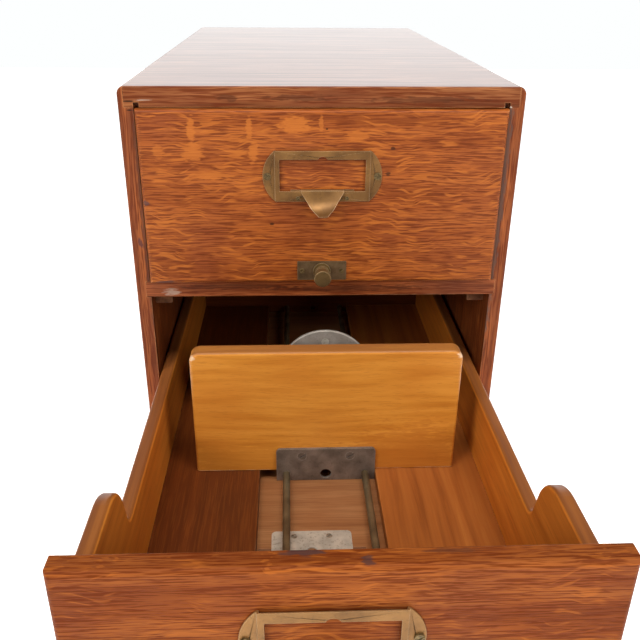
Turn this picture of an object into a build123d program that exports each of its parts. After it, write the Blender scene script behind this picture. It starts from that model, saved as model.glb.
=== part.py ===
"""Two-drawer desktop file of oak for cards and cheques, upper drawer shut and lower drawer out.

Millimetres. The origin is the middle of the base on the desk, +X to the right as one faces
the drawers, +Y to the back, +Z up.
"""
from build123d import *
import os

# Cabinet
cabinet_width = 254.0
cabinet_depth = 485.0
side_thickness = 9.5
top_thickness = 12.7
bottom_thickness = 12.7
back_thickness = 6.5
opening_height = 116.0
divider_height = 11.5
divider_depth = 14.0
lip_thickness = 3.7  # thin outer edge of a side, beside the end of the top board
housing_depth = 3.0  # how far the rail and the bottom run into the sides
notch_width = 3.5  # small notches under the front edge of the top, beside each side
notch_height = 3.0
notch_depth = 4.0
back_rabbet = 4.0  # how far the back panel laps over each side
corner_radius = 5.0  # long outer corners of the top
arris_radius = 1.2  # front and back outer edges of the sides and the top
rail_arris = 0.8
runner_width = 12.0
runner_drop = 10.5  # how far a runner reaches below the divider rail
runner_arris = 1.0

# Drawer box
front_side_gap = 1.0
front_bottom_gap = 0.5
front_thickness = 11.0
front_proud = 5.0  # how far a shut front stands out of the cabinet
front_round = 2.5
lap_depth = 5.0  # how far the sides run into the back of the front
box_play = 2.5  # between the box and a side of the cabinet
box_side_thickness = 8.5
box_back_thickness = 9.0
box_back_gap = 1.0  # between a shut drawer and the back panel
side_lift = 0.2
low_height = 57.0  # top of the scooped part of a side, over the runner
shoulder_gap = 2.5  # from the rear shoulders and the box's back up to the runners of the drawer above
front_shoulder_drop = 9.0  # how much lower the front shoulder is than the rear one
shoulder_end = 83.0  # from the face of the front to the corner of the front shoulder
rear_shoulder = 46.0  # the same for the rear shoulder, from the back of the box
front_flank_run = 12.5  # how far the front flank leans between the two heights
flank_run = 18.0  # the same for the rear flank
front_crest_radius = 26.0
crest_radius = 14.0
scoop_radius = 8.0
side_round = 2.2
base_lift = 0.5
base_thickness = 3.5
floor_board_thickness = 7.5
floor_board_arris = 0.6
base_rabbet = 4.0
channel_width = 78.5
channel_shift = -3.5  # from the middle of the drawer
slot_setback = 131.5  # cross slot in the channel, from the face of the front
slot_width = 6.0
slot_length = 66.0

# Guide rods, card rod and knob
rod_height = 9.5  # over the runner
rod_spacing = 53.5
guide_rod_diameter = 4.8
rod_seat_depth = 5.0  # how far a rod's end runs into the front and the back
card_rod_diameter = 5.0
rod_clearance = 0.1  # round a rod in a plate it slides through
rod_seat_clearance = 0.05
card_rod_bore_clearance = 0.5  # round the card rod in the wood of the front and the back
card_rod_end_gap = 0.5
knob_gap = 0.2  # from the knob's flange to its plate
knob_flange_diameter = 11.8
knob_flange_length = 1.5
knob_neck_diameter = 8.0
knob_neck_length = 1.4
knob_stem_diameter = 9.6
knob_stem_length = 6.6
knob_head_diameter = 11.2
knob_head_length = 5.8
knob_head_round = 0.6
knob_bore_clearance = 0.05
knob_bore_depth = 7.0
groove_depth = 0.8
groove_width = 0.9
groove_shares = (0.33, 0.67, 1.0)  # where the grooves are along the knob's stem
knob_plate_width = 33.0
knob_plate_height = 13.2
knob_plate_thickness = 1.0
knob_plate_corner = 0.6
knob_screw_spacing = 26.4

# Catch plate in the channel
catch_width = 49.4
catch_length = 34.0
catch_thickness = 1.2
catch_recess = 1.0
catch_setback = 146.5  # rear edge, from the face of the front
catch_shift = -9.2  # from the middle of the drawer
catch_radius = 3.0
catch_hole_diameter = 8.4
catch_hole_inset = 18.5  # from the rear edge
catch_screw_spacing = 21.7
catch_screw_inset = 4.6

# Label holder and finger pull
holder_height = 32.7
holder_raised_width = 61.0
holder_full_width = 76.6
holder_sheet = 0.9
holder_rise = 2.2
window_width = 55.0
window_height = 20.3
window_raise = 0.6  # of the window's middle over the holder's
finger_notch_radius = 3.5
finger_notch_depth = 2.0
holder_screw_inset = 3.0  # from the outer edge of a lobe
pull_width = 27.5
pull_reach = 18.0
pull_drop = 12.6
pull_sheet = 0.9
pull_bend = (0.3, 0.68)  # a point on the tongue's bend, as shares of its reach and its drop
pull_shoulder = 0.5  # from the window's sill down to where the tongue starts to taper
pull_outline = ((9.0, 5.2), (6.8, 2.7), (3.8, 0.7))  # half width of the tongue, and how high over its tip
ear_width = 41.0
ear_height = 7.0
rivet_spacing = 31.6
rivet_rise = 2.2  # over the lower edge of the holder
ear_drop = 1.8  # from the rivets down to the lower edge of the ears

# Follower block with its plate, bracket and lock
follower_width = 175.0
follower_height = 90.0
follower_thickness = 12.7
follower_lift = 0.5
follower_corner = 6.5
follower_round = 2.0
foot_plate_width = 67.0
foot_plate_height = 25.3
foot_plate_thickness = 2.0
foot_plate_lift = 0.4  # over the floor of the channel
foot_plate_corner = 3.0
card_rod_hole_diameter = 7.5
foot_screw_spacing = 32.5
foot_screw_height = 12.4  # over the floor boards
bracket_thickness = 2.5
bracket_foot_height = 28.0
upstand_width = 24.0
bracket_screw_spacing = 50.0
bracket_screw_height = 16.0
upstand_screw_height = 42.0
boss_diameter = 15.0
boss_length = 10.0
lock_height = 61.8  # middle of the lock disc, over the floor boards
spindle_diameter = 8.0
spindle_clearance = 0.05
spindle_seat = 6.0  # how far the spindle runs into the block
spindle_seat_clearance = 0.4
collar_diameter = 13.0
collar_length = 1.1
collar_gap = 0.2
disc_diameter = 61.8
disc_thickness = 2.5
disc_round = 0.8
hub_diameter = 14.0
hub_length = 4.0
hub_round = 1.5
finger_pin_radius = 22.7  # from the middle of the disc
finger_pin_diameter = 5.0
finger_pin_length = 7.0
finger_pin_round = 1.2

# Screws and rivets: head radius and height, shank radius and length, and whether the head is sunk
screw_clearance = 0.05
slot_width_share = 0.3  # of the head's radius
slot_depth_share = 0.45  # of the head's height
slot_turn = 35.0
label_screw = {"head": 2.3, "height": 1.1, "shank": 1.1, "length": 8.0, "sunk": False}
knob_plate_screw = {"head": 1.7, "height": 0.8, "shank": 0.9, "length": 7.0, "sunk": False}
rivet = {"head": 1.3, "height": 0.7, "shank": 0.8, "length": holder_rise - screw_clearance, "sunk": False}
foot_screw = {"head": 3.2, "height": 1.6, "shank": 1.5, "length": 9.0, "sunk": True}
bracket_screw = {"head": 2.8, "height": 1.5, "shank": 1.3, "length": 8.0, "sunk": True}
catch_screw = {"head": 2.2, "height": 1.0, "shank": 1.1, "length": 3.0, "sunk": True}
runner_screw = {"head": 3.2, "height": 2.2, "shank": 1.6, "length": 18.0, "sunk": True}
back_screw = {"head": 2.0, "height": 1.2, "shank": 1.0, "length": 14.0, "sunk": True}
back_screw_inset = 30.0
runner_screw_inset = 45.0

# Each drawer at rest: how far it is out, its sideways play, the gap its fitted front leaves at the
# top, where its follower is along the rods, how far the rods sit off its middle, the middle of its
# label holder across and over the runner, and whether its card rod is in
drawers = {
    "upper": {"out": 0.0, "play": 0.0, "top_gap": 0.6, "follower": 260.0, "rods": -0.4,
              "holder": (-0.5, 74.2), "card_rod": True},
    "lower": {"out": 252.5, "play": -0.8, "top_gap": 2.4, "follower": 199.5, "rods": 2.0,
              "holder": (-5.0, 76.4), "card_rod": False},
}

# Worked out from the sizes above
cabinet_height = bottom_thickness + 2 * opening_height + divider_height + top_thickness
opening_width = cabinet_width - 2 * side_thickness
front_y = -cabinet_depth / 2
back_y = cabinet_depth / 2
panel_y = back_y - back_thickness
top_under_z = cabinet_height - top_thickness
divider_z = bottom_thickness + opening_height
opening_floor = {"upper": divider_z + divider_height, "lower": bottom_thickness}
front_width = opening_width - 2 * front_side_gap
box_width = opening_width - 2 * box_play
inner_width = box_width - 2 * box_side_thickness
box_length = cabinet_depth - back_thickness - box_back_gap + front_proud
box_back_face = box_length - box_back_thickness
high_height = opening_height - runner_drop - shoulder_gap  # of the rear shoulders, over the runner
front_shoulder_height = high_height - front_shoulder_drop
base_top = base_lift + base_thickness
floor_top = base_top + floor_board_thickness
channel_left = channel_shift - channel_width / 2
channel_right = channel_shift + channel_width / 2
holder_screw_x = holder_full_width / 2 - holder_screw_inset
lock_z = floor_top + lock_height
rod_xs = (-rod_spacing / 2, rod_spacing / 2)  # from the card rod
foot_bottom = base_top + foot_plate_lift - rod_height  # of the plates round the rods
boss_end = follower_thickness + bracket_thickness + boss_length  # from the face of the block
disc_start = boss_end + collar_gap + collar_length
spill = 1.0  # how far a cutter runs past the wood
down = (Align.CENTER, Align.CENTER, Align.MAX)
up = (Align.CENTER, Align.CENTER, Align.MIN)

os.makedirs("parts", exist_ok=True)


def keep(piece, name):
    piece.part.label = name
    export_step(piece.part, f"parts/{name}.step")


class Place:
    """Where one drawer is measured from: its middle, the face of its front, its runners' top.

    Its rods, and the middle of its label holder, are measured from there.
    """

    def __init__(self, x, y, z, rods=0.0, holder=(0.0, 0.0)):
        self.x, self.y, self.z = x, y, z
        self.rods = rods
        self.holder_x, self.holder_z = holder

    def front(self, x=0.0, y=0.0, z=0.0):
        """Seen from the front: across, up, and out towards the user."""
        return Plane(origin=(self.x + x, self.y + y, self.z + z), x_dir=(1, 0, 0), z_dir=(0, -1, 0))

    def rear(self, x=0.0, y=0.0, z=0.0):
        """Facing the back."""
        return Plane(origin=(self.x + x, self.y + y, self.z + z), x_dir=(-1, 0, 0), z_dir=(0, 1, 0))

    def side(self, x=0.0):
        """Back, up, and out to the right."""
        return Plane(origin=(self.x + x, self.y, self.z), x_dir=(0, 1, 0), z_dir=(1, 0, 0))

    def top(self, x=0.0, y=0.0, z=0.0):
        """Seen from above."""
        return Plane(origin=(self.x + x, self.y + y, self.z + z))


cabinet = Place(0.0, front_y, 0.0)


def screws(kind, places):
    """Slotted screws whose seats are the given planes, as one group of separate solids."""
    radius, height = kind["head"], kind["height"]
    with BuildPart() as group:
        with Locations(*places):
            Cylinder(kind["shank"], kind["length"], align=down)
            if kind["sunk"]:
                Cone(kind["shank"], radius, height, align=down)
            else:
                Cylinder(radius, height, align=up)
        with Locations(*[place.offset(0.0 if kind["sunk"] else height) for place in places]):
            Box(2.2 * radius, slot_width_share * radius, slot_depth_share * height, align=down,
                rotation=(0, 0, slot_turn), mode=Mode.SUBTRACT)
    return group


def bore_for(kind, places):
    """Cuts the holes of such screws into the piece being made."""
    with Locations(*places):
        Cylinder(kind["shank"] + screw_clearance, kind["length"] + screw_clearance, align=down,
                 mode=Mode.SUBTRACT)
        if kind["sunk"]:
            Cone(kind["shank"] + screw_clearance, kind["head"] + screw_clearance, kind["height"],
                 align=down, mode=Mode.SUBTRACT)


def board(x, y, z, mode=Mode.ADD):
    """A plain board in the piece being made, between two values on each axis."""
    middle = [(pair[0] + pair[1]) / 2 for pair in (x, y, z)]
    with Locations(tuple(middle)):
        Box(x[1] - x[0], y[1] - y[0], z[1] - z[0], mode=mode)


def cut(x, y, z):
    """The same space, taken away."""
    board(x, y, z, Mode.SUBTRACT)


# Cabinet

# Outer form of the cabinet, with the rounded long corners of the top
with BuildPart() as cabinet_form:
    with BuildSketch(cabinet.rear()) as end_view:
        with Locations((0, cabinet_height / 2)):
            Rectangle(cabinet_width, cabinet_height)
        fillet(end_view.vertices().group_by(Axis.Y)[-1], corner_radius)
    extrude(amount=cabinet_depth)
    end_edges = cabinet_form.edges().filter_by(Axis.Y, reverse=True)
    fillet(end_edges.filter_by(lambda edge: edge.center().Z > bottom_thickness), arris_radius)

half = cabinet_width / 2
half_opening = opening_width / 2
lip_x = half - lip_thickness
housing_x = half_opening + housing_depth
panel_x = half_opening + back_rabbet
inside = half_opening - spill

# Runners' screws run into the sides, the back panel's into the sides and the bottom
runner_low_z = divider_z - runner_drop
runner_high_z = opening_floor["upper"]
runner_x = half_opening - runner_width
runner_mid_z = (runner_low_z + runner_high_z) / 2
runner_start_y = front_y + divider_depth
runner_screw_ys = [
    runner_start_y + runner_screw_inset,
    (runner_start_y + panel_y) / 2,
    panel_y - runner_screw_inset,
]
runner_screw_places = {
    hand: [Plane(origin=(hand * runner_x, y, runner_mid_z), x_dir=(0, 1, 0), z_dir=(-hand, 0, 0))
           for y in runner_screw_ys]
    for hand in (-1, 1)
}
edge_x = half_opening + back_rabbet / 2
side_screw_zs = [back_screw_inset, cabinet_height / 2, top_under_z - back_screw_inset]
back_screw_points = [(hand * edge_x, z) for hand in (-1, 1) for z in side_screw_zs]
back_screw_points += [(x, bottom_thickness / 2) for x in (-half_opening / 2, 0.0, half_opening / 2)]
back_screw_places = [
    Plane(origin=(x, back_y, z), x_dir=(-1, 0, 0), z_dir=(0, 1, 0)) for x, z in back_screw_points
]

for side_name, hand in (("left", -1), ("right", 1)):

    def span(inner, outer):
        return sorted((hand * inner, hand * outer))

    # Side: a lip beside the top, housings for the rail and the bottom, a rabbet for the back
    with BuildPart() as side:
        board(span(half_opening, half), (front_y, back_y), (0, cabinet_height))
        cut(span(inside, lip_x), (front_y - spill, back_y + spill), (top_under_z, cabinet_height + spill))
        cut(span(inside, housing_x), (front_y - spill, runner_start_y),
            (divider_z, divider_z + divider_height))
        cut(span(inside, housing_x), (front_y - spill, panel_y), (-spill, bottom_thickness))
        cut(span(inside, panel_x), (panel_y, back_y + spill), (-spill, top_under_z))
        add(cabinet_form.part, mode=Mode.INTERSECT)
        bore_for(runner_screw, runner_screw_places[hand])
        bore_for(back_screw, back_screw_places)
    keep(side, f"{side_name}_side")

    with BuildPart() as runner:
        board(span(runner_x, half_opening), (runner_start_y, panel_y), (runner_low_z, runner_high_z))
        fillet(runner.edges().filter_by(Axis.Y).sort_by(Axis.Z)[:2], runner_arris)
        bore_for(runner_screw, runner_screw_places[hand])
    keep(runner, f"{side_name}_runner")

with BuildPart() as top_board:
    board((-lip_x, lip_x), (front_y, back_y), (top_under_z, cabinet_height))
    for hand in (-1, 1):
        cut(sorted((hand * (half_opening - notch_width), hand * half_opening)),
            (front_y - spill, front_y + notch_depth), (top_under_z - spill, top_under_z + notch_height))
    add(cabinet_form.part, mode=Mode.INTERSECT)
keep(top_board, "top_board")

with BuildPart() as bottom_board:
    board((-housing_x, housing_x), (front_y, panel_y), (0, bottom_thickness))
    bore_for(back_screw, back_screw_places)
keep(bottom_board, "bottom_board")

with BuildPart() as back_panel:
    board((-panel_x, panel_x), (panel_y, back_y), (0, top_under_z))
    bore_for(back_screw, back_screw_places)
keep(back_panel, "back_panel")

with BuildPart() as divider_rail:
    board((-housing_x, housing_x), (front_y, runner_start_y), (divider_z, divider_z + divider_height))
    fillet(divider_rail.faces().sort_by(Axis.Y)[0].edges().filter_by(Axis.X), rail_arris)
keep(divider_rail, "divider_rail")

keep(screws(runner_screw, runner_screw_places[-1] + runner_screw_places[1]), "runner_screws")
keep(screws(back_screw, back_screw_places), "back_panel_screws")


# Drawers

def drawer_front(place, top_gap, holder_places, knob_places):
    """Solid front, rounded on its face, lapped behind for the sides, bored for the rods."""
    front_height = opening_height - front_bottom_gap - top_gap
    middle_z = front_bottom_gap + front_height / 2
    with BuildPart() as front:
        with BuildSketch(place.front(y=front_thickness)):
            with Locations((0, middle_z)):
                Rectangle(front_width, front_height)
        extrude(amount=front_thickness)
        fillet(front.faces().sort_by(Axis.Y)[0].edges(), front_round)
        fillet(front.edges().filter_by(Axis.X).group_by(Axis.Z)[-1].sort_by(Axis.Y)[-1], front_round / 2)
        with BuildSketch(place.front(y=front_thickness)):
            lap_width = (front_width - inner_width) / 2 + spill
            for hand in (-1, 1):
                lap_x = hand * (inner_width + lap_width) / 2
                with Locations((lap_x, (front_shoulder_height + side_lift - spill) / 2)):
                    Rectangle(lap_width, front_shoulder_height + side_lift + spill)
        extrude(amount=lap_depth, mode=Mode.SUBTRACT)
        with Locations(place.front(x=place.rods, z=rod_height)):
            Hole(card_rod_diameter / 2 + card_rod_bore_clearance)
        with Locations(*[place.rear(place.rods + x, front_thickness, rod_height) for x in rod_xs]):
            Hole(guide_rod_diameter / 2 + rod_seat_clearance, rod_seat_depth)
        bore_for(label_screw, holder_places)
        bore_for(knob_plate_screw, knob_places)
    return front


def drawer_side(place, hand):
    """Low in the middle, with a high shoulder at each end and a soft edge all along the top."""
    lap_y = front_thickness - lap_depth
    rear_corner = box_length - rear_shoulder
    with BuildPart() as side:
        with BuildSketch(place.side(min(hand * box_width / 2, hand * inner_width / 2))) as profile:
            with BuildLine():
                Polyline(
                    (lap_y, side_lift),
                    (box_length, side_lift),
                    (box_length, high_height),
                    (rear_corner, high_height),
                    (rear_corner - flank_run, low_height),
                    (shoulder_end + front_flank_run, low_height),
                    (shoulder_end, front_shoulder_height),
                    (lap_y, front_shoulder_height),
                    close=True,
                )
            make_face()
            fillet(profile.vertices().group_by(Axis.Y)[1], scoop_radius)
            front_crest = (shoulder_end, front_shoulder_height, 0)
            fillet(profile.vertices().sort_by_distance(front_crest)[0], front_crest_radius)
            rear_crest = (rear_corner, high_height, 0)
            fillet(profile.vertices().sort_by_distance(rear_crest)[0], crest_radius)
        extrude(amount=box_side_thickness)
        rim = side.edges().filter_by(lambda edge: edge.center().Z > place.z + low_height - side_round)
        fillet(rim.filter_by(Axis.X, reverse=True), side_round)
        inner_x = place.x + hand * (inner_width / 2 - spill)
        rabbet_x = place.x + hand * (inner_width / 2 + base_rabbet)
        cut(sorted((inner_x, rabbet_x)), (place.y + front_thickness, place.y + box_length + spill),
            (place.z - spill, place.z + base_top))
    return side


def drawer_back(place):
    with BuildPart() as back:
        with BuildSketch(place.front(y=box_length)):
            with Locations((0, (base_top + high_height) / 2)):
                Rectangle(inner_width, high_height - base_top)
        extrude(amount=box_back_thickness)
        fillet(back.edges().filter_by(Axis.X).group_by(Axis.Z)[-1], side_round)
        with Locations(*[place.front(place.rods + x, box_back_face, rod_height) for x in rod_xs]):
            Hole(guide_rod_diameter / 2 + rod_seat_clearance, rod_seat_depth)
        with Locations(place.front(place.rods, box_back_face, rod_height)):
            Hole(card_rod_diameter / 2 + card_rod_bore_clearance, rod_seat_depth)
    return back


def base_board(place, catch_places):
    """Thin bottom, with the cross slot under the catch plate and a recess for the plate."""
    width = inner_width + 2 * base_rabbet
    length = box_length - front_thickness
    with BuildPart() as base:
        with BuildSketch(place.top(y=front_thickness + length / 2, z=base_lift)):
            Rectangle(width, length)
        extrude(amount=base_thickness)
        with BuildSketch(place.top(catch_shift, slot_setback - slot_width / 2, base_lift)):
            Rectangle(slot_length, slot_width)
        extrude(amount=base_thickness, mode=Mode.SUBTRACT)
        with BuildSketch(place.top(catch_shift, catch_setback - catch_length / 2, base_top)):
            RectangleRounded(catch_width + screw_clearance, catch_length + screw_clearance, catch_radius)
        extrude(amount=-catch_recess, mode=Mode.SUBTRACT)
        bore_for(catch_screw, catch_places)
    return base


def floor_board(place, low_x, high_x):
    length = box_back_face - front_thickness
    with BuildPart() as plank:
        with BuildSketch(place.top((low_x + high_x) / 2, front_thickness + length / 2, base_top)):
            Rectangle(high_x - low_x, length)
        extrude(amount=floor_board_thickness)
        fillet(plank.edges().filter_by(Axis.Y).group_by(Axis.Z)[-1], floor_board_arris)
    return plank


def label_holder(place, holder_places):
    """Pressed brass frame: a raised middle with the window, and a flat lobe with a screw at each end."""
    at = place.front(place.holder_x, 0, place.holder_z)
    with BuildPart() as holder:
        with BuildSketch(at):
            Rectangle(holder_raised_width, holder_height)
            for hand in (-1, 1):
                crease_x = hand * holder_raised_width / 2
                with BuildLine():
                    ThreePointArc((crease_x, holder_height / 2), (hand * holder_full_width / 2, 0),
                                  (crease_x, -holder_height / 2))
                    Line((crease_x, -holder_height / 2), (crease_x, holder_height / 2))
                make_face()
        extrude(amount=holder_rise)
        with BuildSketch(at.offset(holder_sheet)):
            for hand in (-1, 1):
                with Locations((hand * (holder_raised_width + holder_full_width) / 4, 0)):
                    Rectangle((holder_full_width - holder_raised_width) / 2, holder_height)
        extrude(amount=holder_rise, mode=Mode.SUBTRACT)
        with BuildSketch(at):
            Rectangle(holder_raised_width - 2 * holder_sheet, holder_height + spill)
        extrude(amount=holder_rise - holder_sheet, mode=Mode.SUBTRACT)
        window_top = window_raise + window_height / 2
        with BuildSketch(at):
            with Locations((0, window_raise)):
                Rectangle(window_width, window_height)
            with Locations((0, window_top - finger_notch_radius + finger_notch_depth)):
                Circle(finger_notch_radius)
        extrude(amount=holder_rise, mode=Mode.SUBTRACT)
        bore_for(label_screw, holder_places)
        bore_for(rivet, rivet_places(place))
    return holder


def rivet_places(place):
    rivet_z = place.holder_z - holder_height / 2 + rivet_rise
    return [
        place.front(place.holder_x + hand * rivet_spacing / 2, -holder_rise, rivet_z) for hand in (-1, 1)
    ]


def finger_pull(place):
    """Tongue of brass that folds out over the lower edge of the window, on ears behind the rim."""
    sill = window_raise - window_height / 2
    tip = sill - pull_drop
    taper_top = sill - pull_shoulder
    edge = [(half_width, tip + rise) for half_width, rise in pull_outline]
    mirrored = [(-x, z) for x, z in reversed(edge)]
    bend_reach, bend_drop = pull_bend
    root = holder_rise + pull_sheet
    fold_top = sill + screw_clearance + pull_sheet
    ear_low = rivet_rise - ear_drop - holder_height / 2
    left_x = place.x + place.holder_x - pull_width / 2
    left_end = Plane(origin=(left_x, place.y, place.z + place.holder_z), x_dir=(0, 1, 0), z_dir=(1, 0, 0))
    face = place.front(place.holder_x, 0, place.holder_z)
    with BuildPart() as pull:
        with BuildSketch(left_end):
            with BuildLine():
                ThreePointArc((-root, sill + pull_sheet / 2),
                              (-root - bend_reach * pull_reach, sill - bend_drop * pull_drop),
                              (-pull_reach, tip))
            trace(line_width=pull_sheet)
        extrude(amount=pull_width)
        with BuildSketch(face):
            with BuildLine():
                Polyline(mirrored[-1], (-pull_width / 2, taper_top), (-pull_width / 2, fold_top),
                         (pull_width / 2, fold_top), (pull_width / 2, taper_top), edge[0])
                Spline(*edge, (0, tip - pull_sheet / 4), *mirrored)
            make_face()
        extrude(amount=pull_reach + 2 * pull_sheet, mode=Mode.INTERSECT)
        # The fold through the window, and the ears behind the rim
        with BuildSketch(face):
            with Locations((0, fold_top - pull_sheet / 2)):
                Rectangle(pull_width, pull_sheet)
        extrude(amount=root)
        with BuildSketch(face):
            with Locations((0, ear_low + ear_height / 2)):
                Rectangle(ear_width, ear_height)
            with Locations((0, (ear_low + fold_top) / 2)):
                Rectangle(pull_width, fold_top - ear_low)
        extrude(amount=pull_sheet)
        bore_for(rivet, rivet_places(place))
    return pull


def knob_plate(place, knob_places):
    with BuildPart() as plate:
        with BuildSketch(place.front(place.rods, 0, rod_height)):
            RectangleRounded(knob_plate_width, knob_plate_height, knob_plate_corner)
            Circle(card_rod_diameter / 2 + rod_clearance, mode=Mode.SUBTRACT)
        extrude(amount=knob_plate_thickness)
        bore_for(knob_plate_screw, knob_places)
    return plate


def guide_rods(place):
    with BuildPart() as rods:
        for x in rod_xs:
            with BuildSketch(place.rear(place.rods + x, front_thickness - rod_seat_depth, rod_height)):
                Circle(guide_rod_diameter / 2)
        extrude(amount=box_back_face - front_thickness + 2 * rod_seat_depth)
    return rods


def catch_plate(place, catch_places):
    with BuildPart() as plate:
        with BuildSketch(place.top(catch_shift, catch_setback - catch_length / 2, base_top - catch_recess)):
            RectangleRounded(catch_width, catch_length, catch_radius)
            with Locations((0, catch_length / 2 - catch_hole_inset)):
                Circle(catch_hole_diameter / 2, mode=Mode.SUBTRACT)
        extrude(amount=catch_thickness)
        bore_for(catch_screw, catch_places)
    return plate


# Follower

def follower_block(place, setback, front_places, rear_places):
    middle_z = floor_top + follower_lift + follower_height / 2
    with BuildPart() as block:
        with BuildSketch(place.rear(place.rods, setback, middle_z)) as face:
            Rectangle(follower_width, follower_height)
            fillet(face.vertices().group_by(Axis.Y)[-1], follower_corner)
        extrude(amount=follower_thickness)
        low = place.z + floor_top + follower_lift
        rim = block.edges().filter_by(Axis.Y, reverse=True)
        fillet(rim.filter_by(lambda edge: edge.center().Z > low + follower_round), follower_round)
        with Locations(place.rear(place.rods, setback + follower_thickness, lock_z)):
            Hole(spindle_diameter / 2 + spindle_seat_clearance, spindle_seat + spindle_clearance)
        bore_for(foot_screw, front_places)
        bore_for(bracket_screw, rear_places)
    return block


def foot_holes():
    """Three holes for the rods, in the plane of the sketch being made, from the card rod's hole."""
    Circle(card_rod_hole_diameter / 2, mode=Mode.SUBTRACT)
    with Locations(*[(x, 0) for x in rod_xs]):
        Circle(guide_rod_diameter / 2 + rod_clearance, mode=Mode.SUBTRACT)


def foot_plate(place, setback, front_places):
    """Steel plate on the face of the block, which reaches down into the channel round the rods."""
    with BuildPart() as plate:
        with BuildSketch(place.front(place.rods, setback, rod_height)) as face:
            with Locations((0, foot_bottom + foot_plate_height / 2)):
                Rectangle(foot_plate_width, foot_plate_height)
            fillet(face.vertices().group_by(Axis.Y)[-1], foot_plate_corner)
            foot_holes()
        extrude(amount=foot_plate_thickness)
        bore_for(foot_screw, front_places)
    return plate


def follower_bracket(place, setback, rear_places):
    """Steel bracket on the back of the block: a foot round the rods, an upstand and a boss."""
    rear_y = setback + follower_thickness
    foot_top = foot_bottom + bracket_foot_height
    lock_rise = lock_z - rod_height
    with BuildPart() as bracket:
        with BuildSketch(place.rear(place.rods, rear_y, rod_height)):
            with Locations((0, foot_bottom + bracket_foot_height / 2)):
                Rectangle(foot_plate_width, bracket_foot_height)
            with Locations((0, (foot_top + lock_rise) / 2)):
                Rectangle(upstand_width, lock_rise - foot_top)
            with Locations((0, lock_rise)):
                Circle(upstand_width / 2)
            foot_holes()
        extrude(amount=bracket_thickness)
        with BuildSketch(place.rear(place.rods, rear_y + bracket_thickness, lock_z)):
            Circle(boss_diameter / 2)
        extrude(amount=boss_length)
        with Locations(place.rear(place.rods, setback + boss_end, lock_z)):
            Hole(spindle_diameter / 2 + spindle_clearance)
        bore_for(bracket_screw, rear_places)
    return bracket


def lock_spindle(place, setback):
    """Spindle in the block and the boss, with a collar in front of the disc and a hub behind it."""
    seat = follower_thickness - spindle_seat
    disc_end = disc_start + disc_thickness
    with BuildPart() as spindle:
        with BuildSketch(place.rear(place.rods, setback + seat, lock_z)):
            Circle(spindle_diameter / 2)
        extrude(amount=disc_end - seat)
        with BuildSketch(place.rear(place.rods, setback + boss_end + collar_gap, lock_z)):
            Circle(collar_diameter / 2)
        extrude(amount=collar_length)
        with BuildSketch(place.rear(place.rods, setback + disc_end, lock_z)):
            Circle(hub_diameter / 2)
        extrude(amount=hub_length)
        fillet(spindle.faces().sort_by(Axis.Y)[-1].edges(), hub_round)
    return spindle


def lock_disc(place, setback):
    disc_end = setback + disc_start + disc_thickness
    with BuildPart() as disc:
        with BuildSketch(place.rear(place.rods, setback + disc_start, lock_z)):
            Circle(disc_diameter / 2)
        extrude(amount=disc_thickness)
        fillet(disc.edges(), disc_round)
        with Locations(place.rear(place.rods, disc_end, lock_z)):
            Hole(spindle_diameter / 2 + screw_clearance)
        with Locations(place.rear(place.rods, disc_end, lock_z + finger_pin_radius)):
            Hole(finger_pin_diameter / 2 + screw_clearance)
    return disc


def finger_pin(place, setback):
    with BuildPart() as pin:
        with BuildSketch(place.rear(place.rods, setback + disc_start, lock_z + finger_pin_radius)):
            Circle(finger_pin_diameter / 2)
        extrude(amount=disc_thickness + finger_pin_length)
        fillet(pin.faces().sort_by(Axis.Y)[-1].edges(), finger_pin_round)
    return pin


# Card rod

def card_rod(place):
    start = -knob_plate_thickness - knob_bore_depth
    end = box_back_face + rod_seat_depth - card_rod_end_gap
    with BuildPart() as rod:
        with BuildSketch(place.rear(place.rods, start, rod_height)):
            Circle(card_rod_diameter / 2)
        extrude(amount=end - start)
    return rod


def rod_knob(place):
    """Turned knob: a flange, a neck, a grooved stem and a flat head, bored for the end of the rod."""
    axis_point = (place.x + place.rods, place.y, place.z + rod_height)
    start = knob_plate_thickness + knob_gap
    neck_start = start + knob_flange_length
    stem_start = neck_start + knob_neck_length
    head_start = stem_start + knob_stem_length
    end = head_start + knob_head_length
    flange, neck = knob_flange_diameter / 2, knob_neck_diameter / 2
    stem, head = knob_stem_diameter / 2, knob_head_diameter / 2
    with BuildPart() as knob:
        with BuildSketch(Plane(origin=axis_point, x_dir=(0, 1, 0), z_dir=(1, 0, 0))):
            with BuildLine():
                Polyline((-start, 0), (-start, flange), (-neck_start, flange), (-neck_start, neck),
                         (-stem_start, neck), (-stem_start, stem), (-head_start, stem),
                         (-head_start, head), (-end, head), (-end, 0), close=True)
            make_face()
            for share in groove_shares:
                groove_end = stem_start + share * knob_stem_length
                with Locations((groove_width / 2 - groove_end, stem)):
                    Rectangle(groove_width, 2 * groove_depth, mode=Mode.SUBTRACT)
        revolve(axis=Axis(axis_point, (0, 1, 0)))
        fillet(knob.faces().sort_by(Axis.Y)[0].edges(), knob_head_round)
        with Locations(place.rear(place.rods, -start, rod_height)):
            Hole(card_rod_diameter / 2 + knob_bore_clearance, knob_bore_depth)
    return knob


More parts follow.
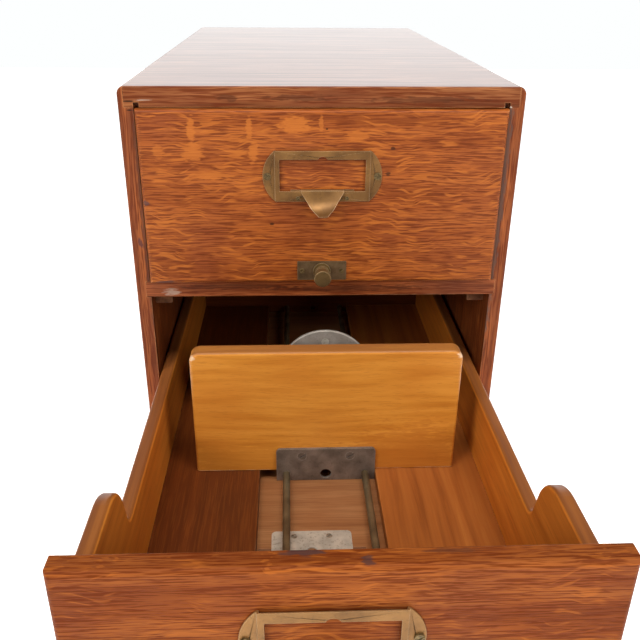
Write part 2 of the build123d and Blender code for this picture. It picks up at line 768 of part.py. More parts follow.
for name, rest in drawers.items():
    front_face = front_y - front_proud - rest["out"]
    place = Place(rest["play"], front_face, opening_floor[name], rest["rods"], rest["holder"])
    setback = rest["follower"]
    holder_places = [
        place.front(place.holder_x + hand * holder_screw_x, -holder_sheet, place.holder_z)
        for hand in (-1, 1)
    ]
    knob_places = [
        place.front(place.rods + hand * knob_screw_spacing / 2, -knob_plate_thickness, rod_height)
        for hand in (-1, 1)
    ]
    catch_places = [
        place.top(catch_shift + hand * catch_screw_spacing / 2, catch_setback - catch_screw_inset,
                  base_top - catch_recess + catch_thickness)
        for hand in (-1, 1)
    ]
    foot_places = [
        place.front(place.rods + hand * foot_screw_spacing / 2, setback - foot_plate_thickness,
                    floor_top + foot_screw_height)
        for hand in (-1, 1)
    ]
    rear_y = setback + follower_thickness + bracket_thickness
    rear_places = [
        place.rear(place.rods + hand * bracket_screw_spacing / 2, rear_y,
                   floor_top + bracket_screw_height)
        for hand in (-1, 1)
    ]
    rear_places.append(place.rear(place.rods, rear_y, floor_top + upstand_screw_height))

    keep(drawer_front(place, rest["top_gap"], holder_places, knob_places), f"{name}_front")
    keep(drawer_side(place, -1), f"{name}_left_side")
    keep(drawer_side(place, 1), f"{name}_right_side")
    keep(drawer_back(place), f"{name}_back")
    keep(base_board(place, catch_places), f"{name}_base_board")
    keep(floor_board(place, -inner_width / 2, channel_left), f"{name}_left_floor_board")
    keep(floor_board(place, channel_right, inner_width / 2), f"{name}_right_floor_board")
    keep(label_holder(place, holder_places), f"{name}_label_holder")
    keep(finger_pull(place), f"{name}_finger_pull")
    keep(screws(rivet, rivet_places(place)), f"{name}_pull_rivets")
    keep(screws(label_screw, holder_places), f"{name}_label_screws")
    keep(knob_plate(place, knob_places), f"{name}_knob_plate")
    keep(screws(knob_plate_screw, knob_places), f"{name}_knob_plate_screws")
    keep(guide_rods(place), f"{name}_guide_rods")
    keep(catch_plate(place, catch_places), f"{name}_catch_plate")
    keep(screws(catch_screw, catch_places), f"{name}_catch_screws")
    keep(follower_block(place, setback, foot_places, rear_places), f"{name}_follower_block")
    keep(foot_plate(place, setback, foot_places), f"{name}_foot_plate")
    keep(screws(foot_screw, foot_places), f"{name}_foot_screws")
    keep(follower_bracket(place, setback, rear_places), f"{name}_follower_bracket")
    keep(screws(bracket_screw, rear_places), f"{name}_bracket_screws")
    keep(lock_spindle(place, setback), f"{name}_lock_spindle")
    keep(lock_disc(place, setback), f"{name}_lock_disc")
    keep(finger_pin(place, setback), f"{name}_finger_pin")
    if rest["card_rod"]:
        keep(card_rod(place), f"{name}_card_rod")
        keep(rod_knob(place), f"{name}_rod_knob")
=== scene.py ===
from functools import partial
import math

import bpy
from mathutils import Matrix, Vector

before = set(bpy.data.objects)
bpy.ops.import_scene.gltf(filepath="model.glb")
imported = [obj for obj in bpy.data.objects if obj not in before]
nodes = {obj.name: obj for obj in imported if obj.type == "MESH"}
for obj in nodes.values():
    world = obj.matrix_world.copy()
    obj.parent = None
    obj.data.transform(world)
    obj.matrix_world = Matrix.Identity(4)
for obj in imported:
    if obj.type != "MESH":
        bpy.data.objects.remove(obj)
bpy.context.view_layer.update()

mm = 0.001
drawers = ("upper", "lower")
print("frame loaded:", len(nodes), "nodes")


# Colours and nodes

def hexColour(text):
    # sRGB hex to the linear values that shaders take
    channels = [int(text[i:i + 2], 16) / 255 for i in (1, 3, 5)]
    linear = [c / 12.92 if c <= 0.04045 else ((c + 0.055) / 1.055) ** 2.4 for c in channels]
    return (*linear, 1.0)


def addNode(tree, kind, inputs=(), output=0, stops=None, **settings):
    # inputs: by place or by name, a value is set and a socket is linked; stops: places and colours
    # of a ramp; output: the one that is given back, or None for the node itself
    made = tree.nodes.new(kind)
    for key, value in settings.items():
        setattr(made, key, value)
    for key, value in inputs.items() if isinstance(inputs, dict) else enumerate(inputs):
        if isinstance(value, bpy.types.NodeSocket):
            tree.links.new(value, made.inputs[key])
        else:
            made.inputs[key].default_value = value
    if stops:
        ramp = made.color_ramp
        while len(ramp.elements) < len(stops):
            ramp.elements.new(0.5)
        for element, (where, colour) in zip(ramp.elements, stops):
            element.position, element.color = where, hexColour(colour)
    return made if output is None else made.outputs[output]


def startMaterial(name):
    material = bpy.data.materials.new(name)
    material.use_nodes = True
    material.node_tree.nodes.clear()
    return material, material.node_tree


def dress(names, material):
    for name in names:
        slots = nodes[name].data.materials
        slots.clear()
        slots.append(material)


# Each board and each fitting takes its noise from a place of its own, this far from the next
noiseStep = {"board": 3.7, "fitting": 2.9, "axes": (1.0, 1.7, 2.3)}
noiseSpan = (0.3, 0.7)  # where most of a noise's values lie
arrisSamples = 4  # rays that look for an arris at each point


# Wood: lengths in mm, and ranges are of the noise that each pattern is cut from

# Quarter-sawn white oak, fumed and varnished: thin dark lines along the grain, crossed by golden
# ribbons of ray fleck that sway from side to side
quarteredOak = {
    "light": "#a65b25", "middle": "#984f1d", "dark": "#854215", "toneStops": (0.3, 0.48, 0.68),
    "streakLength": 120, "streakWidth": 9, "wobble": 0.8, "wobbleLength": 48,
    "pore": "#5e2409", "poreAmount": 0.8, "poreLength": 16, "poreWidth": 0.6, "poreFrom": 0.47,
    "poreSoft": 0.09,
    "fleck": "#b36526", "fleckAmount": 0.7, "fleckSize": (15, 1.7, 1.7), "fleckFrom": 0.54,
    "fleckSoft": 0.06, "fleckSway": 3.2, "fleckSwayLength": 24, "fleckPatch": 26,
    "fleckPatchRange": (0.4, 0.52),
    "patch": "#7f3f22", "patchAmount": 0.5, "patchSize": 50, "patchRange": (0.45, 0.7),
    "wear": "#c9935f", "wearAmount": 0.5,
    "roughness": 0.45, "sheen": 0.12, "coat": 0.06, "coatRoughness": 0.3, "bump": 0.08, "bumpStrength": 0.6,
}
# Plain-sawn oak of the carcass: the same stain, coarser open pores, no ray fleck
plainOak = dict(
    quarteredOak, light="#a35a2a", middle="#874621", dark="#5e2c12", fleckAmount=0.0, poreLength=26,
    poreWidth=0.95, poreFrom=0.48, patch="#6b3820", patchAmount=0.6, streakWidth=4.0, wobble=2.0,
)
# The rail between the drawers, redder and more handled
railOak = dict(plainOak, light="#a85b30", middle="#8a4722", dark="#5c2a12", patch="#5a3020", patchAmount=0.5)
# The top's varnish is rubbed to a full gloss, so it mirrors the pale room at a low angle
glossOak = dict(
    plainOak, light="#9c6238", middle="#804826", dark="#582f15", roughness=0.35, topGloss=(0.86, 1.0),
    bump=0.02,
)
# Front of the lower drawer, duller and from a plainer board
lowerOak = dict(
    quarteredOak, light="#9a5624", middle="#87451a", dark="#723713", fleckAmount=0.4, fleckFrom=0.56,
    patch="#6f3a22", sheen=0.05, coat=0.0,
)
# Birch, shellacked to honey: close grain, soft broad figure, hardly any pores
shellacBirch = dict(
    quarteredOak, light="#d28b36", middle="#c8802d", dark="#b97023", pore="#9a5a1e", poreAmount=0.3,
    poreLength=9, poreFrom=0.56, fleckAmount=0.0, streakLength=60, streakWidth=5, wobble=4.0,
    wobbleLength=90, patch="#bd7026", patchSize=60, wear="#e6cfb2", wearAmount=0.8, roughness=0.4,
    sheen=0.25, coat=0.1, bump=0.02,
)
# The same on the followers, with the top edge painted darker: partly bare brown wood, partly painted shade
followerBirch = dict(shellacBirch, topBareAndShade="#8c582c")
# Poplar, shellacked: orange, with fine lines along it
shellacPoplar = dict(
    shellacBirch, light="#d8842f", middle="#cc7728", dark="#b9671f", pore="#94501c", poreAmount=0.35,
    poreLength=24, poreWidth=0.8, streakLength=140, wobble=2.0, patch="#b9641f", patchAmount=0.4,
    wear="#d8a878", sheen=0.2,
)
# The same on the drawer sides, whose top edges are painted darker: partly bare brown wood, partly painted
# shade
sidePoplar = dict(shellacPoplar, topBareAndShade="#6a3d22")
# Floor boards: redder, dry shellac rubbed by cards, with more pore lines
floorPoplar = dict(
    shellacPoplar, light="#a25f27", middle="#945220", dark="#7c4016", patch="#874619", roughness=0.5,
    coatRoughness=0.35, streakWidth=6, poreAmount=0.5, poreFrom=0.5, wearAmount=0.2,
)
# The left floor board and the backs, painted dark: the backs as painted shade, where only shadow falls; the
# left floor board as a darker plank with the painted shadow of the drawer's left side
darkAndShadedPoplar = dict(
    floorPoplar, light="#622d0c", middle="#59280a", dark="#502308", patch="#4a220a", poreAmount=0.15,
    sheen=0.15,
)
# The base under the rods, paler and browner, polished by the cards' feet
basePoplar = dict(
    floorPoplar, light="#9c6a42", middle="#8e5c36", dark="#7c4c2a", pore="#6c3a1e", poreAmount=0.3,
    streakWidth=9,
)
# Bare inner wood of the back panel and the runners, brown with age
agedPine = dict(
    shellacPoplar, light="#8a5c3c", middle="#754a30", dark="#54341f", pore="#3a2214", patch="#5c3a26",
    roughness=0.75, coat=0.0, bump=0.06, wearAmount=0.1,
)

grainOrder = {"X": (0, 2, 1), "Y": (1, 0, 2), "Z": (2, 0, 1)}  # along, across and through a board
# How far wear reaches from an edge, how well the normals agree where it starts and is full, and the
# size of the patches it comes in
woodArris = {"reach": 1.1, "agree": (0.985, 0.88), "patch": 9, "patchRange": (0.35, 0.6)}
# A mark's outline is ragged by this share of its size, and fades inwards over this part of it
markEdge = {"grain": (6, 1.5, 1.5), "ragged": 0.4, "fade": (1.0, 0.65)}
# Where a face counts as facing up for the darker top (partly bare wood, partly painted shade), and how its
# streaks vary it
topBareAndShadeFacing = {"facing": (0.45, 0.8), "streaks": (0.3, 0.6), "amount": (0.95, 0.75)}
glossTop = {"facing": (0.5, 0.95), "streaks": (0.35, 0.6)}


def makeWood(name, wood, grain, seed, marks=(), rays=()):
    material, tree = startMaterial(name)
    add = partial(addNode, tree)
    place = add("ShaderNodeTexCoord", output="Object")
    axes = add("ShaderNodeSeparateXYZ", [place], output=None).outputs
    along, across, through = (axes[i] for i in grainOrder[grain])
    board = add("ShaderNodeCombineXYZ", [along, across, through])

    def figureAt(source, sizes, offset, detail=2.0, roughness=0.5):
        # Noise of these sizes along, across and through the board, set off from the other patterns
        spread = add("ShaderNodeMapping", {
            "Vector": source, "Scale": [1 / (size * mm) for size in sizes],
            "Location": [(seed * noiseStep["board"] + offset) * share for share in noiseStep["axes"]],
        })
        return add("ShaderNodeTexNoise", {
            "Vector": spread, "Scale": 1.0, "Detail": detail, "Roughness": roughness,
        })

    def spotAt(mark):
        # An ellipsoid about a place, with a ragged outline
        inside = add("ShaderNodeMapping", {
            "Vector": place, "Scale": [1 / (size * mm) for size in mark["size"]],
            "Location": [-at / size for at, size in zip(mark["at"], mark["size"])],
        })
        reach = add("ShaderNodeVectorMath", [inside], output="Value", operation="LENGTH")
        ragged, tears = markEdge["ragged"], figureAt(board, markEdge["grain"], 8.0)
        torn = add("ShaderNodeMapRange", [tears, *noiseSpan, -ragged, ragged])
        outline = add("ShaderNodeMath", [reach, torn], operation="ADD")
        return add("ShaderNodeMapRange", [outline, *markEdge["fade"], 0.0, mark["amount"]])

    # The grain wanders across the board as it runs along it
    length, reach = wood["wobbleLength"], wood["wobble"] * mm
    wander = figureAt(board, (length, length / 3, length / 3), 1.0, 1.0)
    drift = add("ShaderNodeMapRange", [wander, 0.0, 1.0, -reach, reach])
    shifted = add("ShaderNodeMath", [across, drift], operation="ADD")
    run = add("ShaderNodeCombineXYZ", [along, shifted, through])

    width = wood["streakWidth"]
    streaks = figureAt(run, (wood["streakLength"], width, width), 2.0, 3.0)
    tone = add("ShaderNodeValToRGB", [streaks], stops=list(zip(
        wood["toneStops"], (wood["dark"], wood["middle"], wood["light"]),
    )))
    blotch = add("ShaderNodeMapRange", [
        figureAt(board, [wood["patchSize"]] * 3, 3.0), *wood["patchRange"], 0.0, wood["patchAmount"],
    ])
    layers = [(blotch, wood["patch"])]  # what lies over the tone, in order: its share and colour

    # Pores are short dark dashes along the grain
    width = wood["poreWidth"]
    dashes = figureAt(run, (wood["poreLength"], width, width), 4.0, 2.0, 0.6)
    pores = add("ShaderNodeMapRange", [dashes, wood["poreFrom"], wood["poreFrom"] + wood["poreSoft"]])

    if wood["fleckAmount"]:
        # Ray fleck sways far more than the grain does, and comes in patches
        reach = wood["fleckSway"] * mm
        bend = figureAt(board, [wood["fleckSwayLength"]] * 3, 5.0, 1.0)
        sway = add("ShaderNodeMapRange", [bend, *noiseSpan, -reach, reach])
        swayed = add("ShaderNodeCombineXYZ", [
            along, add("ShaderNodeMath", [across, sway], operation="ADD"), through,
        ])
        field = figureAt(swayed, wood["fleckSize"], 6.0, 1.5)
        ribbon = add("ShaderNodeMapRange", [field, wood["fleckFrom"], wood["fleckFrom"] + wood["fleckSoft"]])
        inPatch = add("ShaderNodeMapRange", [
            figureAt(board, [wood["fleckPatch"]] * 3, 7.0), *wood["fleckPatchRange"],
        ])
        fleck = add("ShaderNodeMath", [ribbon, inPatch], operation="MULTIPLY")
        fleck = add("ShaderNodeMath", [fleck, wood["fleckAmount"]], operation="MULTIPLY")
        for ray in rays:
            fleck = add("ShaderNodeMath", [fleck, spotAt(ray)], operation="MAXIMUM")
        clear = add("ShaderNodeMath", [1.0, fleck], operation="SUBTRACT")
        pores = add("ShaderNodeMath", [pores, clear], operation="MULTIPLY")
        layers.append((fleck, wood["fleck"]))
    layers.append((add("ShaderNodeMath", [pores, wood["poreAmount"]], operation="MULTIPLY"), wood["pore"]))

    # Arrises are rubbed pale where the rounded normal leaves the true one
    rounded = add("ShaderNodeBevel", {"Radius": woodArris["reach"] * mm}, samples=arrisSamples)
    true = add("ShaderNodeNewGeometry", output="Normal")
    agree = add("ShaderNodeVectorMath", [rounded, true], output="Value", operation="DOT_PRODUCT")
    edge = add("ShaderNodeMapRange", [agree, *woodArris["agree"], 0.0, wood["wearAmount"]])
    patchy = add("ShaderNodeMapRange", [
        figureAt(board, [woodArris["patch"]] * 3, 7.0), *woodArris["patchRange"],
    ])
    rubbed = add("ShaderNodeMath", [edge, patchy], operation="MULTIPLY")
    layers.append((rubbed, wood["wear"]))

    # Dents, stains, chips and painted highlights at their own places
    layers += [(spotAt(mark), mark["colour"]) for mark in marks]

    gloss = wood["coat"]
    facing = add("ShaderNodeSeparateXYZ", [true], output=2)
    if "topBareAndShade" in wood:
        # Faces that point up are painted darker, apart from their rubbed arrises: partly bare wood that has
        # lost its shellac and gone brown, partly painted shade that dims the light from above
        up = add("ShaderNodeMapRange", [facing, *topBareAndShadeFacing["facing"]])
        streakShare = add("ShaderNodeMapRange", [streaks, *topBareAndShadeFacing["streaks"], *topBareAndShadeFacing["amount"]])
        bareAndShadedShare = add("ShaderNodeMath", [up, streakShare], operation="MULTIPLY")
        unrubbed = add("ShaderNodeMath", [1.0, rubbed], operation="SUBTRACT")
        layers.append((add("ShaderNodeMath", [bareAndShadedShare, unrubbed], operation="MULTIPLY"), wood["topBareAndShade"]))
    if "topGloss" in wood:
        # Only what faces up is polished, less so along the streaks
        up = add("ShaderNodeMapRange", [facing, *glossTop["facing"]])
        polish = add("ShaderNodeMapRange", [streaks, *glossTop["streaks"], *wood["topGloss"]])
        gloss = add("ShaderNodeMath", [up, polish], operation="MULTIPLY")

    for share, colour in layers:
        tone = add("ShaderNodeMix", {0: share, 6: tone, 7: hexColour(colour)}, output=2, data_type="RGBA")
    relief = add("ShaderNodeBump", {
        "Height": pores, "Strength": wood["bumpStrength"], "Distance": wood["bump"] * mm,
    }, invert=True)
    surface = add("ShaderNodeBsdfPrincipled", {
        "Base Color": tone, "Roughness": wood["roughness"], "Specular IOR Level": wood["sheen"],
        "Coat Weight": gloss, "Coat Roughness": wood["coatRoughness"], "Normal": relief,
    })
    add("ShaderNodeOutputMaterial", {"Surface": surface}, output=None)
    return material


# Each board's wood, and the axis that its grain runs along
boards = {
    "left_side": (plainOak, "Z"), "right_side": (plainOak, "Z"), "top_board": (glossOak, "X"),
    "divider_rail": (railOak, "X"), "bottom_board": (plainOak, "X"), "back_panel": (agedPine, "X"),
    "left_runner": (agedPine, "Y"), "right_runner": (agedPine, "Y"),
}
frontWood = {"upper": quarteredOak, "lower": lowerOak}
for drawer in drawers:
    boards[f"{drawer}_front"] = (frontWood[drawer], "X")
    boards[f"{drawer}_left_side"] = (sidePoplar, "Y")
    boards[f"{drawer}_right_side"] = (sidePoplar, "Y")
    # the backs are painted dark: painted shade, where only shadow falls
    boards[f"{drawer}_back"] = (darkAndShadedPoplar, "X")
    boards[f"{drawer}_base_board"] = (basePoplar, "X")
    # the left floor board: a darker plank, with the painted shadow of the drawer's left side
    boards[f"{drawer}_left_floor_board"] = (darkAndShadedPoplar, "Y")
    boards[f"{drawer}_right_floor_board"] = (floorPoplar, "Y")
    boards[f"{drawer}_follower_block"] = (followerBirch, "X")

# Marks, in world mm at rest: where, half sizes, colour and strength
gapBlack, chipPale, stainDark, stainBlue = "#1c0f09", "#c9bfae", "#3b1d10", "#4a3a3c"
marks = {
    "top_board": [
        {"at": (-123.4, -242.5, 264.2), "size": (0.5, 2, 4.2), "colour": gapBlack, "amount": 0.9},
        {"at": (-120.5, -242.5, 259.9), "size": (3.4, 2, 0.5), "colour": gapBlack, "amount": 0.9},
        {"at": (-111.5, -242.5, 260.6), "size": (5.5, 2, 0.35), "colour": chipPale, "amount": 0.6},
        {"at": (-116.4, -242.5, 254.8), "size": (2.6, 2, 1.2), "colour": chipPale, "amount": 0.75},
        {"at": (124.2, -242.5, 262.0), "size": (0.5, 2, 4.6), "colour": gapBlack, "amount": 0.9},
        {"at": (121.0, -242.5, 254.8), "size": (4.2, 2, 0.5), "colour": gapBlack, "amount": 0.95},
        {"at": (116.0, -242.5, 256.4), "size": (2.6, 2, 1.1), "colour": chipPale, "amount": 0.9},
        {"at": (-27.0, -236.0, 268.9), "size": (1.6, 3.0, 1), "colour": stainDark, "amount": 0.85},
        {"at": (-60.0, -242.5, 262.0), "size": (9, 3, 2.2), "colour": stainDark, "amount": 0.5},
        {"at": (-15.0, -242.5, 262.0), "size": (22, 3, 2.4), "colour": stainDark, "amount": 0.45},
        {"at": (62.0, -242.5, 261.0), "size": (40, 3, 2.2), "colour": stainDark, "amount": 0.45},
    ],
    "left_side": [
        {"at": (-119.8, -242.5, 254.5), "size": (2.6, 2, 0.45), "colour": gapBlack, "amount": 0.9},
        # a dark stripe down the inner half of the left side's front edge, beside the drawer fronts
        {"at": (-117.2, -242.5, 190.0), "size": (2.4, 3, 95), "colour": "#5a3626", "amount": 0.6},
        {"at": (-121.5, -242.5, 168.0), "size": (1.6, 3, 4), "colour": "#3b2430", "amount": 0.7},
    ],
    "right_side": [
        # a dark stripe down the inner half of the right side's front edge, beside the drawer fronts
        {"at": (118.0, -242.5, 190.0), "size": (2.6, 3, 90), "colour": "#5b463c", "amount": 0.75},
    ],
    "divider_rail": [
        {"at": (-102.8, -242.5, 132.4), "size": (6.5, 3, 2.6), "colour": "#b49a86", "amount": 0.6},
        {"at": (60.0, -242.5, 128.6), "size": (48, 3, 0.9), "colour": "#b07a55", "amount": 0.55},
        # darker bands along the upper half of the rail, below the upper front
        {"at": (-60.0, -242.5, 136.0), "size": (45, 3, 2.0), "colour": stainDark, "amount": 0.5},
        {"at": (20.0, -242.5, 134.5), "size": (60, 3, 2.4), "colour": stainDark, "amount": 0.55},
    ],
    "lower_follower_block": [
        {"at": (1.2, -288.0, 115.0), "size": (92, 6.5, 2.2), "colour": "#a0602c", "amount": 0.85},
        # pale spots on the two top corners of the follower: painted highlights
        {"at": (-85.5, -300.5, 112.0), "size": (3.0, 3.0, 2.6), "colour": "#e3cdb0", "amount": 0.55},
        {"at": (88.0, -300.5, 112.0), "size": (3.0, 3.0, 2.6), "colour": "#e3cdb0", "amount": 0.55},
        # darker, redder patches over the lower part of the follower, right and left
        {"at": (58.0, -300.5, 30.0), "size": (46, 4, 34), "colour": "#a85c1e", "amount": 0.4},
        {"at": (-40.0, -300.5, 32.0), "size": (66, 4, 16), "colour": "#b2691f", "amount": 0.35},
    ],
    "upper_front": [
        {"at": (2.1, -247.5, 244.1), "size": (1.0, 2, 0.6), "colour": gapBlack, "amount": 0.9},
        {"at": (44.0, -247.5, 232.2), "size": (1.6, 2, 1.2), "colour": stainDark, "amount": 0.8},
        {"at": (41.6, -247.5, 215.6), "size": (2.2, 2, 1.2), "colour": stainDark, "amount": 0.8},
        {"at": (-33.4, -247.5, 182.5), "size": (1.8, 2, 0.9), "colour": gapBlack, "amount": 0.7},
        {"at": (-114.2, -247.5, 196.6), "size": (2.4, 3, 1.8), "colour": stainBlue, "amount": 0.7},
        {"at": (-106, -247.5, 141.5), "size": (9, 6, 1.6), "colour": stainBlue, "amount": 0.7},
    ],
    "lower_front": [
        {"at": (-18.0, -491.0, 126.3), "size": (9, 2.5, 2), "colour": "#43302e", "amount": 0.8},
        {"at": (7.5, -496.0, 126.3), "size": (3, 3.0, 2), "colour": "#43302e", "amount": 0.75},
        {"at": (40.0, -492.0, 126.3), "size": (12, 1.5, 2), "colour": "#5a3320", "amount": 0.6},
    ],
}
# Broad rays where the knife met them square, on the left of the upper front
rays = {
    "upper_front": [
        {"at": (-82.5, -247.5, 243.0), "size": (3.0, 6, 9.0), "amount": 0.8},
        {"at": (-82.0, -247.5, 229.0), "size": (7.0, 6, 7.0), "amount": 0.75},
        {"at": (-104.0, -247.5, 230.0), "size": (4.0, 6, 5.0), "amount": 0.6},
        {"at": (-46.5, -247.5, 244.0), "size": (2.2, 6, 8.0), "amount": 0.75},
        {"at": (-44.0, -247.5, 230.0), "size": (3.4, 6, 8.0), "amount": 0.8},
        {"at": (-18.0, -247.5, 246.5), "size": (11.0, 6, 6.0), "amount": 0.85},
        {"at": (-1.5, -247.5, 247.0), "size": (1.6, 6, 6.0), "amount": 0.7},
        {"at": (-70.0, -247.5, 214.5), "size": (13.0, 6, 3.0), "amount": 0.75},
        {"at": (22.0, -247.5, 240.0), "size": (8.0, 6, 4.0), "amount": 0.7},
    ],
}

for seed, (name, (wood, grain)) in enumerate(boards.items()):
    dress([name], makeWood(f"wood_{name}", wood, grain, seed + 1, marks.get(name, ()), rays.get(name, ())))
print("wood done:", len(boards), "boards")


# Metal: mottle, spots, grit and the reach of an arris in mm

# Brass sheet, pressed, lacquered once and gone olive brown: dull, with paler rubbed arrises
agedBrass = {
    "light": "#8f6636", "dark": "#6f4c26", "toneStops": (0.35, 0.65), "mottle": 16.0,
    "spot": "#4d3a22", "spotAmount": 0.25, "spotSize": 1.5, "spotRange": (0.58, 0.66),
    "grit": 0.5, "bump": 0.02, "bumpStrength": 0.4,
    "edge": "#dcbf96", "edgeAmount": 0.6, "edgeReach": 0.5, "edgeAgree": (0.98, 0.85),
    "metallic": 0.6, "roughness": 0.42, "roughnessSpread": (0.08, -0.06),
}
# Turned brass of the knob, darker where fingers leave it alone
turnedBrass = dict(agedBrass, light="#8a6e44", dark="#5c472a", edge="#e8cf9f", edgeAmount=0.7, roughness=0.34)
# Brass plate under the knob, nearly black with age
darkBrass = dict(agedBrass, light="#7d6446", dark="#5a452c", edge="#a08d66", roughness=0.46, mottle=8.0)
# Brass screws and rivets in the brass sheet, darker than it
screwBrass = dict(agedBrass, light="#7c653f", dark="#4a3a22", edge="#a8905f", edgeAmount=0.5, mottle=1.5)
# Cold-rolled steel of the foot plate and bracket, aged to brown grey
agedSteel = dict(
    agedBrass, light="#8a7b6d", dark="#695c50", spot="#463c33", edge="#b0a495", metallic=0.5, roughness=0.45,
    mottle=10.0,
)
# Drawn steel rod, olive with old oil
drawnSteel = dict(agedSteel, light="#766549", dark="#594831", edge="#7f6d50", roughness=0.36, mottle=14.0)
# Nickel plate over steel, gone milky, with specks where it has worn through
wornNickel = dict(
    agedBrass, light="#c4bfb0", dark="#a8a294", spot="#5f5340", edge="#d8d2c4", metallic=0.45, roughness=0.4,
    mottle=8.0, spotAmount=0.35,
)
# Turned disc of zinc-coated steel, plain grey
greySteel = dict(agedSteel, light="#a39b90", dark="#8a8176", spot="#5c544b", metallic=0.4)
# Steel of the screws in wood, dark in the slots
screwSteel = dict(agedSteel, light="#9a8f7c", dark="#5e5140", edge="#d8cfbf", roughness=0.35, mottle=1.5)


def makeMetal(name, metal, seed):
    material, tree = startMaterial(name)
    add = partial(addNode, tree)
    place = add("ShaderNodeTexCoord", output="Object")

    def figureAt(size, offset, detail):
        spread = add("ShaderNodeMapping", {
            "Vector": place, "Location": (seed * noiseStep["fitting"] + offset,) * 3,
            "Scale": (1 / (size * mm),) * 3,
        })
        return add("ShaderNodeTexNoise", {"Vector": spread, "Scale": 1.0, "Detail": detail})

    mottle = figureAt(metal["mottle"], 1.0, 3.0)
    grit = figureAt(metal["grit"], 2.0, 2.0)
    speckle = figureAt(metal["spotSize"], 3.0, 2.0)
    spots = add("ShaderNodeMapRange", [speckle, *metal["spotRange"], 0.0, metal["spotAmount"]])

    # Arrises are rubbed bright where the rounded normal leaves the true one
    rounded = add("ShaderNodeBevel", {"Radius": metal["edgeReach"] * mm}, samples=arrisSamples)
    true = add("ShaderNodeNewGeometry", output="Normal")
    agree = add("ShaderNodeVectorMath", [rounded, true], output="Value", operation="DOT_PRODUCT")
    rubbed = add("ShaderNodeMapRange", [agree, *metal["edgeAgree"], 0.0, metal["edgeAmount"]])

    tone = add("ShaderNodeValToRGB", [mottle], stops=list(zip(
        metal["toneStops"], (metal["dark"], metal["light"]),
    )))
    for share, colour in ((spots, metal["spot"]), (rubbed, metal["edge"])):
        tone = add("ShaderNodeMix", {0: share, 6: tone, 7: hexColour(colour)}, output=2, data_type="RGBA")
    rough = add("ShaderNodeMapRange", [
        mottle, *noiseSpan, *(metal["roughness"] + spread for spread in metal["roughnessSpread"]),
    ])
    relief = add("ShaderNodeBump", {
        "Height": grit, "Strength": metal["bumpStrength"], "Distance": metal["bump"] * mm,
    })
    surface = add("ShaderNodeBsdfPrincipled", {
        "Base Color": tone, "Metallic": metal["metallic"], "Roughness": rough, "Normal": relief,
    })
    add("ShaderNodeOutputMaterial", {"Surface": surface}, output=None)
    return material


fittings = {
    "label_holder": agedBrass, "finger_pull": agedBrass, "pull_rivets": screwBrass,
    "label_screws": screwBrass, "knob_plate": darkBrass, "knob_plate_screws": screwBrass,
    "guide_rods": drawnSteel, "catch_plate": wornNickel, "catch_screws": screwSteel,
    "foot_plate": agedSteel, "foot_screws": agedSteel, "follower_bracket": agedSteel,
    "bracket_screws": screwSteel, "lock_spindle": greySteel, "lock_disc": greySteel,
    "finger_pin": wornNickel,
}
for seed, (piece, metal) in enumerate(fittings.items()):
    for drawer in drawers:
        dress([f"{drawer}_{piece}"], makeMetal(f"{drawer}_{piece}_metal", metal, seed + 1))
dress(["upper_card_rod"], makeMetal("card_rod_metal", drawnSteel, 21))
dress(["upper_rod_knob"], makeMetal("rod_knob_metal", turnedBrass, 22))
dress(["runner_screws", "back_panel_screws"], makeMetal("carcass_screw_metal", screwSteel, 23))
print("metal done:", len(fittings), "kinds of fitting")


# Softened arrises on the pressed and turned pieces: each one's radius in mm

softEdges = {
    "label_holder": 0.3, "finger_pull": 0.3, "knob_plate": 0.25, "catch_plate": 0.3, "foot_plate": 0.4,
    "follower_bracket": 0.3, "label_screws": 0.4, "knob_plate_screws": 0.3, "pull_rivets": 0.3,
}
rounding = {"joinWithin": 0.01, "segments": 2, "sharperThan": 40}


def soften(piece, radius):
    weld = piece.modifiers.new("join", "WELD")
    weld.merge_threshold = rounding["joinWithin"] * mm
    bevel = piece.modifiers.new("arris", "BEVEL")
    bevel.width = radius * mm
    bevel.segments = rounding["segments"]
    bevel.limit_method = "ANGLE"
    bevel.angle_limit = math.radians(rounding["sharperThan"])
    bevel.harden_normals = True


for piece, radius in softEdges.items():
    for drawer in drawers:
        soften(nodes[f"{drawer}_{piece}"], radius)
print("arrises softened")


# Camera: its place in mm, its turns in degrees, its focal length in pixels of a frame this wide

camera = {
    "place": (-21.5, -718.5, 335.7), "yaw": 2.46, "pitch": 25.35, "roll": -0.50, "focal": 746.66,
    "frame": 640, "sensor": 36.0, "nearest": 0.01,
}
yaw, pitch, roll = (math.radians(camera[key]) for key in ("yaw", "pitch", "roll"))
ahead = Vector((math.sin(yaw) * math.cos(pitch), math.cos(yaw) * math.cos(pitch), -math.sin(pitch)))
level = Vector((math.cos(yaw), -math.sin(yaw), 0.0))
right = math.cos(roll) * level + math.sin(roll) * ahead.cross(level)
above = right.cross(ahead)
lens = bpy.data.cameras.new("camera")
lens.sensor_width = camera["sensor"]
lens.lens = camera["focal"] / camera["frame"] * camera["sensor"]
lens.clip_start = camera["nearest"]
viewer = bpy.data.objects.new("camera", lens)
bpy.context.scene.collection.objects.link(viewer)
turn = Matrix((right, above, -ahead)).transposed().to_4x4()
viewer.matrix_world = Matrix.Translation(Vector(camera["place"]) * mm) @ turn
bpy.context.scene.camera = viewer
bpy.context.scene.view_settings.view_transform = "Standard"

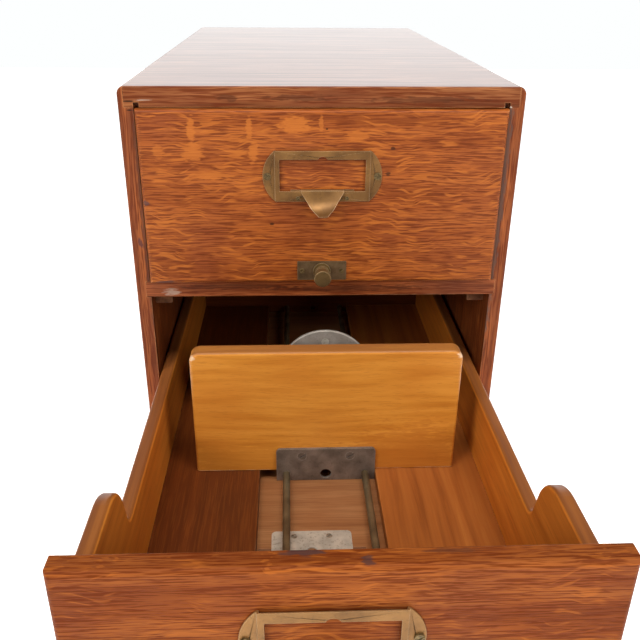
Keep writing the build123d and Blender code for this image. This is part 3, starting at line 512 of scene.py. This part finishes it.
# Matt white floor that glows a little, so that it stays white under soft light
paleFloor = {"size": 4.2, "colour": "#f4f4f4", "roughness": 0.9, "glow": "#ffffff", "glowStrength": 0.7}
bpy.ops.mesh.primitive_plane_add(size=paleFloor["size"])
floor = bpy.context.object
floor.name = "floor"
floorMaterial, tree = startMaterial("pale_floor")
surface = addNode(tree, "ShaderNodeBsdfPrincipled", {
    "Base Color": hexColour(paleFloor["colour"]), "Roughness": paleFloor["roughness"],
    "Emission Color": hexColour(paleFloor["glow"]), "Emission Strength": paleFloor["glowStrength"],
})
addNode(tree, "ShaderNodeOutputMaterial", {"Surface": surface}, output=None)
floor.data.materials.append(floorMaterial)

# The room is seen as white but lights the object less, so that the softboxes show
paleRoom = {"colour": "#fdffff", "light": 0.1, "seen": 1.0}
world = bpy.data.worlds.new("studio")
bpy.context.scene.world = world
world.use_nodes = True
world.node_tree.nodes.clear()
seen = addNode(world.node_tree, "ShaderNodeLightPath", output="Is Camera Ray")
roomLight = addNode(world.node_tree, "ShaderNodeMix", {0: seen, 2: paleRoom["light"], 3: paleRoom["seen"]})
room = addNode(world.node_tree, "ShaderNodeBackground", {
    "Color": hexColour(paleRoom["colour"]), "Strength": roomLight,
})
addNode(world.node_tree, "ShaderNodeOutputWorld", {"Surface": room}, output=None)

# Softboxes, in metres and watts, all turned to one point on the object
softboxes = {
    "key": {"place": (-1.5, -1.9, 1.15), "size": (0.9, 0.9), "power": 26.0},
    "fill": {"place": (1.5, -1.9, 0.95), "size": (0.9, 0.9), "power": 20.5},
    "over": {"place": (0.0, -0.8, 1.6), "size": (1.8, 0.5), "power": 27.0},
    "rear": {"place": (0.1, 2.2, 0.55), "size": (2.6, 0.9), "power": 13.0},
}
lightsAim = Vector((0.0, -0.15, 0.15))
for name, softbox in softboxes.items():
    light = bpy.data.lights.new(name, "AREA")
    light.shape = "RECTANGLE"
    light.size, light.size_y = softbox["size"]
    light.energy = softbox["power"]
    lamp = bpy.data.objects.new(name, light)
    bpy.context.scene.collection.objects.link(lamp)
    lamp.location = softbox["place"]
    lamp.rotation_euler = (lightsAim - lamp.location).to_track_quat("-Z", "Y").to_euler()
print("camera, floor and light done")
